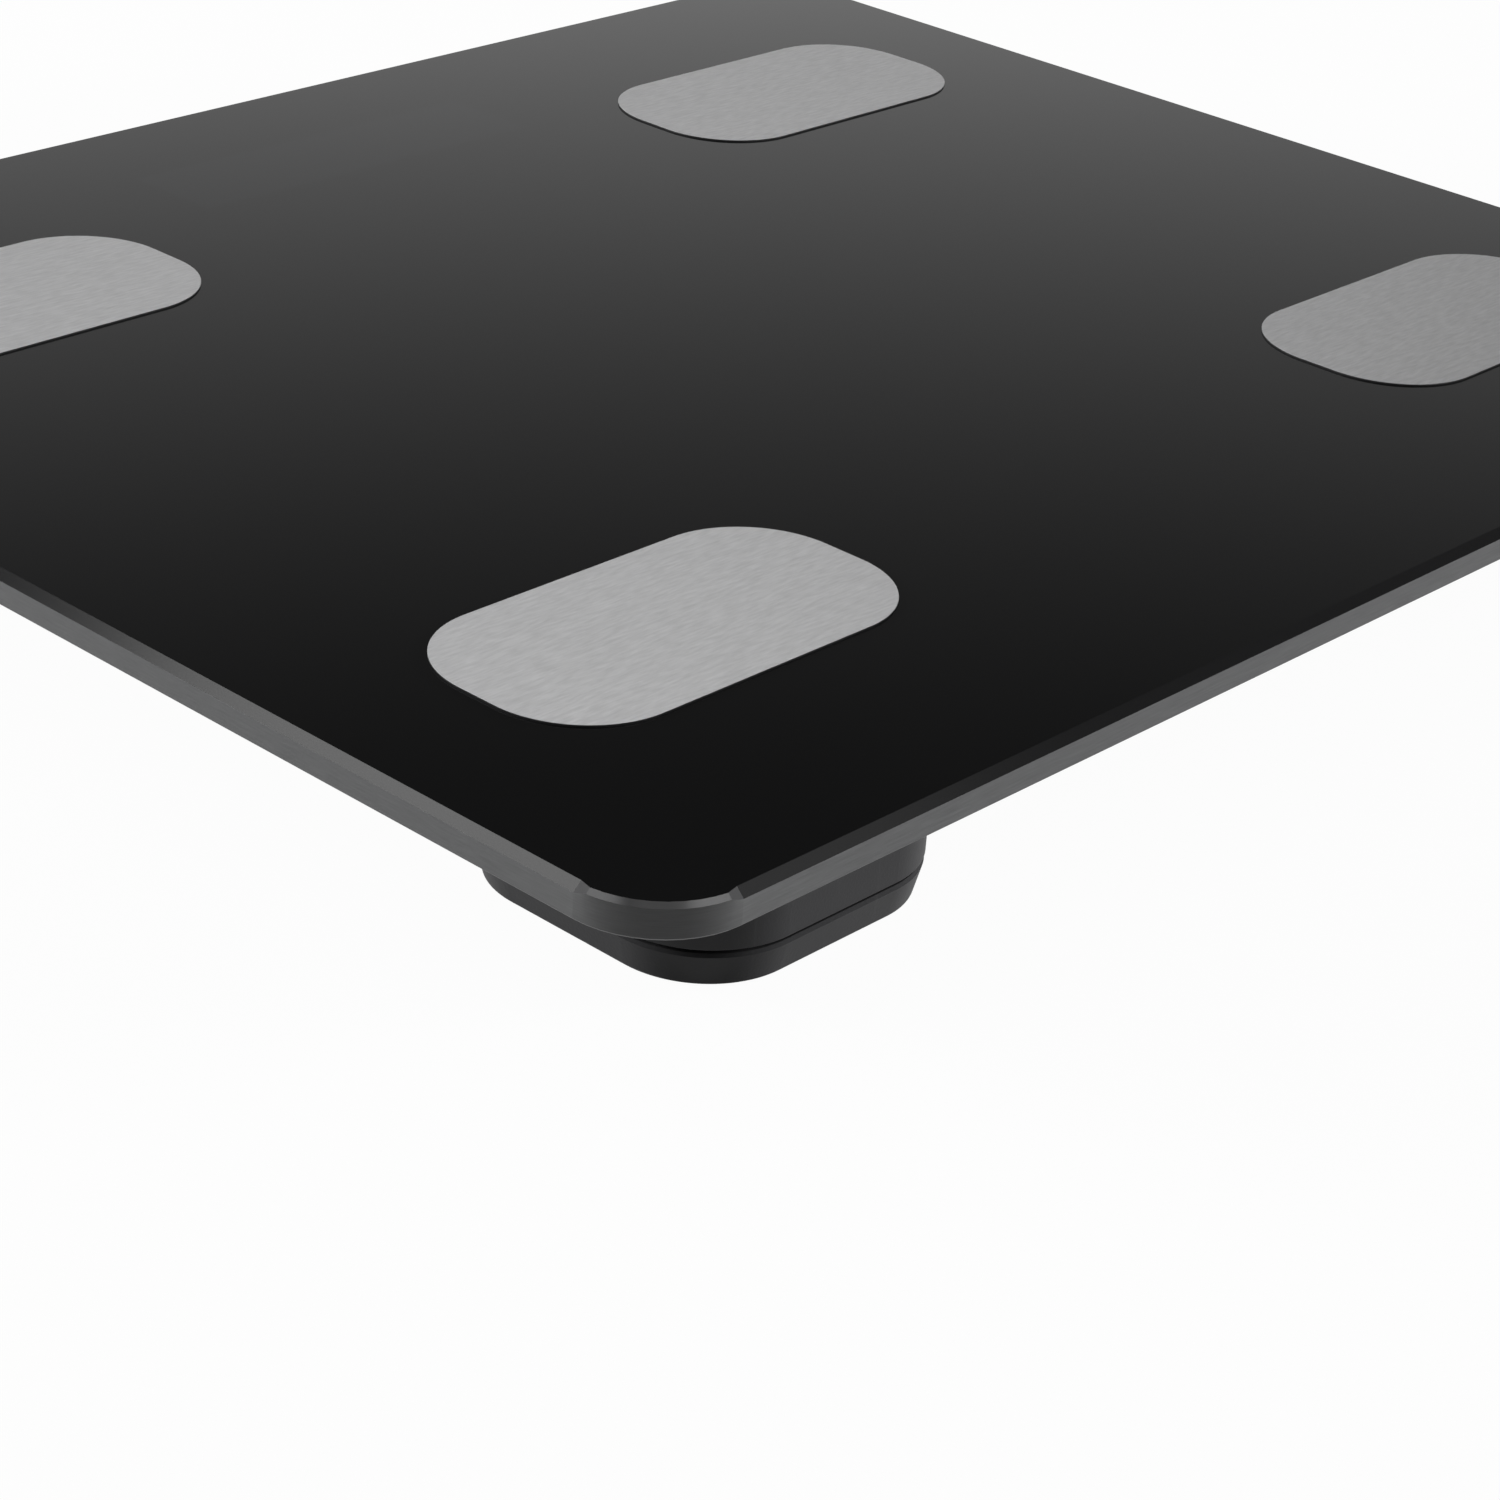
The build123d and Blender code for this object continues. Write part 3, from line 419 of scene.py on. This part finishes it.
boardLook = {
    "colour": (0.012, 0.085, 0.035), "paler": (0.018, 0.115, 0.05), "scuffed": (0.03, 0.16, 0.07),
    "scuffs": 0.35, "gloss": (0.26, 0.34), "grain": 1200.0,
    "depth": 0.03 * mm, "bump": 0.25, "specular": 0.5,
}
displayFrameLook = {
    "colour": (0.72, 0.72, 0.71), "paler": (0.78, 0.78, 0.77), "scuffed": (0.84, 0.84, 0.83),
    "scuffs": 0.1, "gloss": (0.4, 0.5), "grain": 2500.0,
    "depth": 0.03 * mm, "bump": 0.2, "specular": 0.5,
}
displayPanelLook = {
    "colour": (0.018, 0.019, 0.020), "paler": (0.022, 0.023, 0.025), "scuffed": (0.04, 0.04, 0.04),
    "scuffs": 0.05, "gloss": (0.14, 0.2), "grain": 1500.0,
    "depth": 0.01 * mm, "bump": 0.1, "specular": 0.5,
}

wrapLook = {
    "wrap": (0.030, 0.030, 0.032), "band": (0.42, 0.30, 0.10), "bandMetal": 0.6,
    "bandShare": 0.30,   # share of the cell's length at its plus end
    "steel": (0.62, 0.62, 0.63), "endLip": 1.2 * mm, "edgeSoft": 0.1 * mm,
    "gloss": (0.20, 0.30), "grain": 1800.0, "drift": 120.0, "depth": 0.01 * mm, "bump": 0.2,
}


def cellWrapFinish(name, node, look):
    # Printed sleeve: dark with a pale band at the plus end, bare steel at both ends
    material, tree, shader, place = newFinish(name)
    low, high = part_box(node)
    along = splitVector(tree, place.outputs["Object"])["Y"]
    band = look["bandShare"] * (high.y - low.y)
    soft = look["edgeSoft"]
    if int(node[-1]) % 2 == 1:   # neighbouring cells face opposite ways
        bandMask = rangeNode(tree, along, high.y - band, high.y - band + soft, 0.0, 1.0)
    else:
        bandMask = rangeNode(tree, along, low.y + band - soft, low.y + band, 1.0, 0.0)
    fromEnd = mathNode(tree, "MINIMUM", mathNode(tree, "SUBTRACT", along, low.y),
                       mathNode(tree, "SUBTRACT", high.y, along))
    steelMask = rangeNode(tree, fromEnd, look["endLip"], look["endLip"] + soft, 1.0, 0.0)
    sleeve = blendColour(tree, bandMask, look["wrap"], look["band"])
    wire(tree, blendColour(tree, steelMask, sleeve, look["steel"]), shader.inputs["Base Color"])
    foil = mathNode(tree, "MULTIPLY", bandMask, look["bandMetal"])
    wire(tree, mathNode(tree, "MAXIMUM", steelMask, foil), shader.inputs["Metallic"])
    skin = useGroup(tree, mouldSkin, place.outputs["Object"], Grain=look["grain"], Flow=look["drift"])
    gloss = rangeNode(tree, skin.outputs["Drift"], 0.0, 1.0, *look["gloss"])
    wire(tree, gloss, shader.inputs["Roughness"])
    addBump(tree, shader, skin.outputs["Pits"], look["depth"], look["bump"])
    return material


finishes = {
    "black_glass": glassFinish(glassLook),
    "brushed_steel": metalFinish("brushed_steel", electrodeLook),
    "nickel": metalFinish("nickel", nickelLook),
    "cell_steel": metalFinish("cell_steel", cellSteelLook),
    "screw_steel": metalFinish("screw_steel", screwLook),
    "shield_steel": metalFinish("shield_steel", shieldLook),
    "black_film": plasticFinish("black_film", filmLook),
    "foot_plastic": plasticFinish("foot_plastic", footLook),
    "tray_plastic": plasticFinish("tray_plastic", trayLook),
    "duct_plastic": plasticFinish("duct_plastic", ductLook),
    "button_plastic": plasticFinish("button_plastic", buttonLook),
    "grip_rubber": plasticFinish("grip_rubber", rubberLook),
    "gauge_resin": plasticFinish("gauge_resin", resinLook),
    "lead_sheath": plasticFinish("lead_sheath", sheathLook),
    "board_green": plasticFinish("board_green", boardLook),
    "connector_nylon": plasticFinish("connector_nylon", nylonLook),
    "chip_black": plasticFinish("chip_black", chipLook),
    "display_white": plasticFinish("display_white", displayFrameLook),
    "display_dark": plasticFinish("display_dark", displayPanelLook),
}
slotOf = {part["node"]: part["material_slot"] for part in frame["record"]["subparts"]}
for name, piece in nodes.items():
    if slotOf[name] == "cell_wrap":
        finish = cellWrapFinish(f"cell_wrap_{name[-1]}", name, wrapLook)
    else:
        finish = finishes[slotOf[name]]
    piece.data.materials.clear()
    piece.data.materials.append(finish)
print("finishes set on", len(nodes), "nodes")


# Rubber grips: a slab with a tread of small studs, one for each foot

weldDistance = 0.001 * mm
gripLook = {
    "studPitch": 2.5 * mm, "studRadius": 0.85 * mm, "studHeight": 0.25 * mm, "studSides": 12,
    "studDraft": 0.75,   # radius at the floor over radius at the slab
    "studReach": 1.2,    # its length over its height, so that it ends inside the slab
    "border": 1.6 * mm, "cornerRadius": 10.0 * mm, "cornerSteps": 10,
}


def makeTreadTree(look):
    tree = bpy.data.node_groups.new("gripTread", "GeometryNodeTree")
    tree.interface.new_socket("Geometry", in_out="OUTPUT", socket_type="NodeSocketGeometry")
    for key in ("Side", "Thickness", "Corner", "Stud pitch", "Stud radius", "Stud height", "Border"):
        tree.interface.new_socket(key, in_out="INPUT", socket_type="NodeSocketFloat")
    tree.interface.new_socket("Foot centre", in_out="INPUT", socket_type="NodeSocketVector")
    tree.interface.new_socket("Rubber", in_out="INPUT", socket_type="NodeSocketMaterial")
    given = addNode(tree, "NodeGroupInput")
    result = addNode(tree, "NodeGroupOutput")

    # Slab: a filled rounded square, drawn up to the foot's recess, with its lower face put back
    square = addNode(tree, "GeometryNodeCurvePrimitiveQuadrilateral", mode="RECTANGLE")
    wire(tree, given.outputs["Side"], square.inputs["Width"])
    wire(tree, given.outputs["Side"], square.inputs["Height"])
    rounded = addNode(tree, "GeometryNodeFilletCurve", {"Count": look["cornerSteps"]}, mode="POLY")
    wire(tree, square.outputs["Curve"], rounded.inputs["Curve"])
    wire(tree, given.outputs["Corner"], rounded.inputs["Radius"])
    plan = addNode(tree, "GeometryNodeFillCurve", mode="NGONS")
    wire(tree, rounded.outputs["Curve"], plan.inputs["Curve"])
    lift = addNode(tree, "ShaderNodeCombineXYZ")
    wire(tree, given.outputs["Stud height"], lift.inputs["Z"])
    floorFace = addNode(tree, "GeometryNodeTransform")
    wire(tree, plan.outputs["Mesh"], floorFace.inputs["Geometry"])
    wire(tree, lift.outputs["Vector"], floorFace.inputs["Translation"])
    rise = mathNode(tree, "SUBTRACT", given.outputs["Thickness"], given.outputs["Stud height"])
    upwards = addNode(tree, "ShaderNodeCombineXYZ")
    wire(tree, rise, upwards.inputs["Z"])
    drawn = addNode(tree, "GeometryNodeExtrudeMesh", {"Individual": False, "Offset Scale": 1.0},
                    mode="FACES")
    wire(tree, floorFace.outputs["Geometry"], drawn.inputs["Mesh"])
    wire(tree, upwards.outputs["Vector"], drawn.inputs["Offset"])
    lowerFace = addNode(tree, "GeometryNodeFlipFaces")
    wire(tree, floorFace.outputs["Geometry"], lowerFace.inputs["Mesh"])
    slab = addNode(tree, "GeometryNodeJoinGeometry")
    wire(tree, drawn.outputs["Mesh"], slab.inputs["Geometry"])
    wire(tree, lowerFace.outputs["Mesh"], slab.inputs["Geometry"])
    closed = addNode(tree, "GeometryNodeMergeByDistance", {"Distance": weldDistance})
    wire(tree, slab.outputs["Geometry"], closed.inputs["Geometry"])

    # Stud places: a square grid kept inside the rounded border
    bothBorders = mathNode(tree, "MULTIPLY", given.outputs["Border"], 2.0)
    inner = mathNode(tree, "SUBTRACT", given.outputs["Side"], bothBorders)
    steps = mathNode(tree, "FLOOR", mathNode(tree, "DIVIDE", inner, given.outputs["Stud pitch"]))
    count = mathNode(tree, "ADD", steps, 1.0)
    span = mathNode(tree, "MULTIPLY", steps, given.outputs["Stud pitch"])
    grid = addNode(tree, "GeometryNodeMeshGrid")
    for axis in ("X", "Y"):
        wire(tree, span, grid.inputs[f"Size {axis}"])
        wire(tree, count, grid.inputs[f"Vertices {axis}"])
    where = addNode(tree, "GeometryNodeInputPosition")
    folded = addNode(tree, "ShaderNodeVectorMath", operation="ABSOLUTE")
    wire(tree, where.outputs["Position"], folded.inputs[0])
    halfSide = mathNode(tree, "MULTIPLY", given.outputs["Side"], 0.5)
    halfStraight = mathNode(tree, "SUBTRACT", halfSide, given.outputs["Corner"])
    cornerAt = addNode(tree, "ShaderNodeCombineXYZ")
    wire(tree, halfStraight, cornerAt.inputs["X"])
    wire(tree, halfStraight, cornerAt.inputs["Y"])
    past = addNode(tree, "ShaderNodeVectorMath", operation="SUBTRACT")
    wire(tree, folded.outputs["Vector"], past.inputs[0])
    wire(tree, cornerAt.outputs["Vector"], past.inputs[1])
    over = addNode(tree, "ShaderNodeVectorMath", {1: (0.0, 0.0, 0.0)}, operation="MAXIMUM")
    wire(tree, past.outputs["Vector"], over.inputs[0])
    away = addNode(tree, "ShaderNodeVectorMath", operation="LENGTH")
    wire(tree, over.outputs["Vector"], away.inputs[0])
    room = mathNode(tree, "SUBTRACT", given.outputs["Corner"], given.outputs["Border"])
    outside = addNode(tree, "FunctionNodeCompare", operation="GREATER_THAN", data_type="FLOAT")
    wire(tree, away.outputs["Value"], outside.inputs[0])
    wire(tree, room, outside.inputs[1])
    kept = addNode(tree, "GeometryNodeDeleteGeometry", domain="POINT")
    wire(tree, grid.outputs["Mesh"], kept.inputs["Geometry"])
    wire(tree, outside.outputs["Result"], kept.inputs["Selection"])

    # One stud: a low cone that stands on the floor and ends just inside the slab
    tip = mathNode(tree, "MULTIPLY", given.outputs["Stud radius"], look["studDraft"])
    tall = mathNode(tree, "MULTIPLY", given.outputs["Stud height"], look["studReach"])
    stud = addNode(tree, "GeometryNodeMeshCone", {"Vertices": look["studSides"]}, fill_type="NGON")
    wire(tree, given.outputs["Stud radius"], stud.inputs["Radius Top"])
    wire(tree, tip, stud.inputs["Radius Bottom"])
    wire(tree, tall, stud.inputs["Depth"])
    studs = addNode(tree, "GeometryNodeInstanceOnPoints")
    wire(tree, kept.outputs["Geometry"], studs.inputs["Points"])
    wire(tree, stud.outputs["Mesh"], studs.inputs["Instance"])
    plain = addNode(tree, "GeometryNodeRealizeInstances")
    wire(tree, studs.outputs["Instances"], plain.inputs["Geometry"])

    joined = addNode(tree, "GeometryNodeJoinGeometry")
    wire(tree, closed.outputs["Geometry"], joined.inputs["Geometry"])
    wire(tree, plain.outputs["Geometry"], joined.inputs["Geometry"])
    placed = addNode(tree, "GeometryNodeTransform")
    wire(tree, joined.outputs["Geometry"], placed.inputs["Geometry"])
    wire(tree, given.outputs["Foot centre"], placed.inputs["Translation"])
    dressed = addNode(tree, "GeometryNodeSetMaterial")
    wire(tree, placed.outputs["Geometry"], dressed.inputs["Geometry"])
    wire(tree, given.outputs["Rubber"], dressed.inputs["Material"])
    wire(tree, dressed.outputs["Geometry"], result.inputs["Geometry"])
    return tree


def makeGrip(corner, tree, look):
    node = f"foot_grip_{corner}"
    low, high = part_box(node)
    holder = bpy.data.objects.new("treadHolder", bpy.data.meshes.new("treadHolder"))
    scene.collection.objects.link(holder)
    modifier = holder.modifiers.new("tread", "NODES")
    modifier.node_group = tree
    sockets = tree.interface.items_tree
    socketId = {item.name: item.identifier for item in sockets if item.in_out == "INPUT"}
    values = {
        "Side": high.x - low.x, "Thickness": high.z - low.z, "Corner": look["cornerRadius"],
        "Stud pitch": look["studPitch"], "Stud radius": look["studRadius"],
        "Stud height": look["studHeight"], "Border": look["border"],
        "Foot centre": ((low.x + high.x) / 2, (low.y + high.y) / 2, low.z),
        "Rubber": finishes["grip_rubber"],
    }
    for key, value in values.items():
        modifier[socketId[key]] = value
    holder.update_tag()
    bpy.context.view_layer.update()
    evaluated = holder.evaluated_get(bpy.context.evaluated_depsgraph_get())
    mesh = bpy.data.meshes.new_from_object(evaluated)
    bpy.data.objects.remove(holder)
    grip = bpy.data.objects.new(f"gripTread_{corner}", mesh)
    scene.collection.objects.link(grip)
    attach(grip, f"foot_{corner}")
    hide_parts(node)
    return grip


treadTree = makeTreadTree(gripLook)
grips = [makeGrip(corner, treadTree, gripLook) for corner in corners]
print("grips made:", sum(len(grip.data.polygons) for grip in grips), "faces")


# Load cells: a welded copy of each, with its edges marked sharp by angle

cellShape = {"buttonHeight": 1.0 * mm, "sharpAngle": 30.0}   # degrees


def makeLoadCell(corner, shape):
    node = f"load_cell_{corner}"
    mesh = nodes[node].data.copy()
    work = bmesh.new()
    work.from_mesh(mesh)
    bmesh.ops.remove_doubles(work, verts=work.verts, dist=weldDistance)
    work.to_mesh(mesh)
    work.free()
    mesh.set_sharp_from_angle(angle=math.radians(shape["sharpAngle"]))
    cell = bpy.data.objects.new(f"bendingCell_{corner}", mesh)
    scene.collection.objects.link(cell)
    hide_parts(node)
    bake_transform(cell)


for corner in corners:
    makeLoadCell(corner, cellShape)
print("load cells made")


# Floor and soft light

studio = {
    "floorSize": 8.0, "floorColour": (0.42, 0.42, 0.42), "floorPaler": (0.44, 0.44, 0.44),
    "floorGrain": 400.0, "floorDrift": 3.0, "floorGloss": 0.9, "floorSpecular": 0.1,
    "floorSeen": 0.965,       # share of plain white in the floor as the camera sees it
    "floorInGloss": 0.14,     # and as gloss shows it
    "horizon": 0.95,          # brightness of the pale wall at floor level
    "ceiling": 0.042,         # and of the dark room above it
    "wallTop": 0.492,         # sine of the height at which the wall ends
    "wallFade": 2.1, "wallGain": 3.15,
    "wallLean": 0.07,         # the wall's upper edge falls to the right
    "frontShare": 0.20,       # brightness left in the wall behind the camera
    "frontFacing": (0.2, 0.9),   # cosines of the turn between which it dims
    "backdrop": 0.97,         # what the camera sees past the floor
}
lamps = {
    # place in metres, direction of its long side, length, breadth, watts, shows in gloss
    "backBank": ((0.47, 0.90, 1.23), (0.90, -0.44, 0.0), 1.5, 0.7, 5.6),
    "leftStrip": ((-1.075, 0.56, 1.24), (0.0, 1.0, 0.0), 1.46, 0.30, 4.2),
    "rightStrip": ((0.24, -1.05, 1.22), (1.0, 0.0, 0.0), 0.94, 0.30, 3.5),
    "rightFade": ((0.69, -0.84, 0.85), (1.0, 0.0, 0.0), 0.4, 0.3, 0.17),
    "frontFill": ((-0.60, -0.70, 1.30), (0.75, -0.66, 0.0), 1.0, 0.5, 1.5),
    "leftLow": ((-0.99, 1.46, 0.36), (0.83, 0.56, 0.0), 0.6, 0.4, 78.0, False),
    "rightLow": ((2.50, -1.54, 0.36), (0.52, 0.85, 0.0), 0.8, 0.4, 228.0, False),
}
cameraView = {
    "place": (-0.41527, -0.37527, 0.23172), "turn": 48.63, "tilt": 27.48, "roll": 4.04,   # degrees
    "lens": 88.48, "sensor": 36.0, "nearest": 0.01,
}


def makeFloor(look):
    half = look["floorSize"] / 2
    mesh = bpy.data.meshes.new("floor")
    outline = [(-half, -half, 0), (half, -half, 0), (half, half, 0), (-half, half, 0)]
    mesh.from_pydata(outline, [], [(0, 1, 2, 3)])
    floor = bpy.data.objects.new("floor", mesh)
    scene.collection.objects.link(floor)
    material, tree, shader, place = newFinish("paleFloor")
    skin = useGroup(tree, mouldSkin, place.outputs["Object"],
                    Grain=look["floorGrain"], Flow=look["floorDrift"])
    colour = blendColour(tree, skin.outputs["Drift"], look["floorColour"], look["floorPaler"])
    wire(tree, colour, shader.inputs["Base Color"])
    shader.inputs["Roughness"].default_value = look["floorGloss"]
    shader.inputs["Specular IOR Level"].default_value = look["floorSpecular"]
    # What is seen of the floor, straight or in gloss, is nearly white and keeps a soft shadow
    ray = addNode(tree, "ShaderNodeLightPath")
    straight = mathNode(tree, "MAXIMUM", ray.outputs["Is Camera Ray"], ray.outputs["Is Transmission Ray"])
    share = mathNode(tree, "MAXIMUM", mathNode(tree, "MULTIPLY", straight, look["floorSeen"]),
                     mathNode(tree, "MULTIPLY", ray.outputs["Is Glossy Ray"], look["floorInGloss"]))
    white = addNode(tree, "ShaderNodeEmission", {"Color": (1.0, 1.0, 1.0, 1.0), "Strength": 1.0})
    mixed = addNode(tree, "ShaderNodeMixShader")
    wire(tree, share, mixed.inputs[0])
    wire(tree, shader.outputs["BSDF"], mixed.inputs[1])
    wire(tree, white.outputs["Emission"], mixed.inputs[2])
    # From below the floor is clear, so that the underside shows
    clear = addNode(tree, "ShaderNodeBsdfTransparent")
    which = addNode(tree, "ShaderNodeNewGeometry")
    oneSided = addNode(tree, "ShaderNodeMixShader")
    wire(tree, which.outputs["Backfacing"], oneSided.inputs[0])
    wire(tree, mixed.outputs["Shader"], oneSided.inputs[1])
    wire(tree, clear.outputs["BSDF"], oneSided.inputs[2])
    output = next(node for node in tree.nodes if node.type == "OUTPUT_MATERIAL")
    wire(tree, oneSided.outputs["Shader"], output.inputs["Surface"])
    mesh.materials.append(material)


def makeWorld(look):
    world = bpy.data.worlds.new("softRoom")
    scene.world = world
    world.use_nodes = True
    tree = world.node_tree
    background = next(node for node in tree.nodes if node.type == "BACKGROUND")
    place = addNode(tree, "ShaderNodeTexCoord")
    turn = math.radians(cameraView["turn"])
    lean = (look["wallLean"] * math.cos(turn), -look["wallLean"] * math.sin(turn), 1.0)
    height = addNode(tree, "ShaderNodeVectorMath", {1: lean}, operation="DOT_PRODUCT")
    wire(tree, place.outputs["Generated"], height.inputs[0])
    below = rangeNode(tree, height.outputs["Value"], 0.0, look["wallTop"], 1.0, 0.0)
    faded = mathNode(tree, "MULTIPLY", mathNode(tree, "POWER", below, look["wallFade"]), look["wallGain"])
    level = mathNode(tree, "MINIMUM", mathNode(tree, "ADD", faded, look["ceiling"]), look["horizon"])
    behind = (-math.sin(turn), -math.cos(turn), 0.0)
    front = addNode(tree, "ShaderNodeVectorMath", {1: behind}, operation="DOT_PRODUCT")
    wire(tree, place.outputs["Generated"], front.inputs[0])
    dimmer = rangeNode(tree, front.outputs["Value"], *look["frontFacing"], 1.0, look["frontShare"])
    lit = mathNode(tree, "MULTIPLY", level, dimmer)
    ray = addNode(tree, "ShaderNodeLightPath")
    seen = blendValue(tree, ray.outputs["Is Camera Ray"], lit, look["backdrop"])
    wire(tree, seen, background.inputs["Strength"])
    background.inputs["Color"].default_value = (1.0, 1.0, 1.0, 1.0)


def makeLamp(name, place, along, length, breadth, watts, inGloss=True):
    light = bpy.data.lights.new(name, "AREA")
    light.shape = "RECTANGLE"
    light.size = length
    light.size_y = breadth
    light.energy = watts
    lamp = bpy.data.objects.new(name, light)
    back = Vector(place).normalized()         # a lamp shines along its own -Z
    side = Vector(along)
    side = (side - side.dot(back) * back).normalized()
    facing = Matrix((side, back.cross(side), back)).transposed()
    lamp.matrix_world = Matrix.Translation(place) @ facing.to_4x4()
    lamp.visible_glossy = inGloss
    scene.collection.objects.link(lamp)


def makeCamera(view):
    turn, tilt, roll = (math.radians(view[key]) for key in ("turn", "tilt", "roll"))
    ahead = Vector((math.sin(turn) * math.cos(tilt), math.cos(turn) * math.cos(tilt), -math.sin(tilt)))
    level = Vector((math.cos(turn), -math.sin(turn), 0.0))
    above = level.cross(ahead)
    right = math.cos(roll) * level + math.sin(roll) * above
    up = -math.sin(roll) * level + math.cos(roll) * above
    data = bpy.data.cameras.new("photoView")
    data.lens = view["lens"]
    data.sensor_width = view["sensor"]
    data.clip_start = view["nearest"]
    camera = bpy.data.objects.new("photoView", data)
    rotation = Matrix((right, up, -ahead)).transposed()
    camera.matrix_world = Matrix.Translation(view["place"]) @ rotation.to_4x4()
    scene.collection.objects.link(camera)
    scene.camera = camera


makeFloor(studio)
makeWorld(studio)
for name, settings in lamps.items():
    makeLamp(name, *settings)
makeCamera(cameraView)
print("studio set")
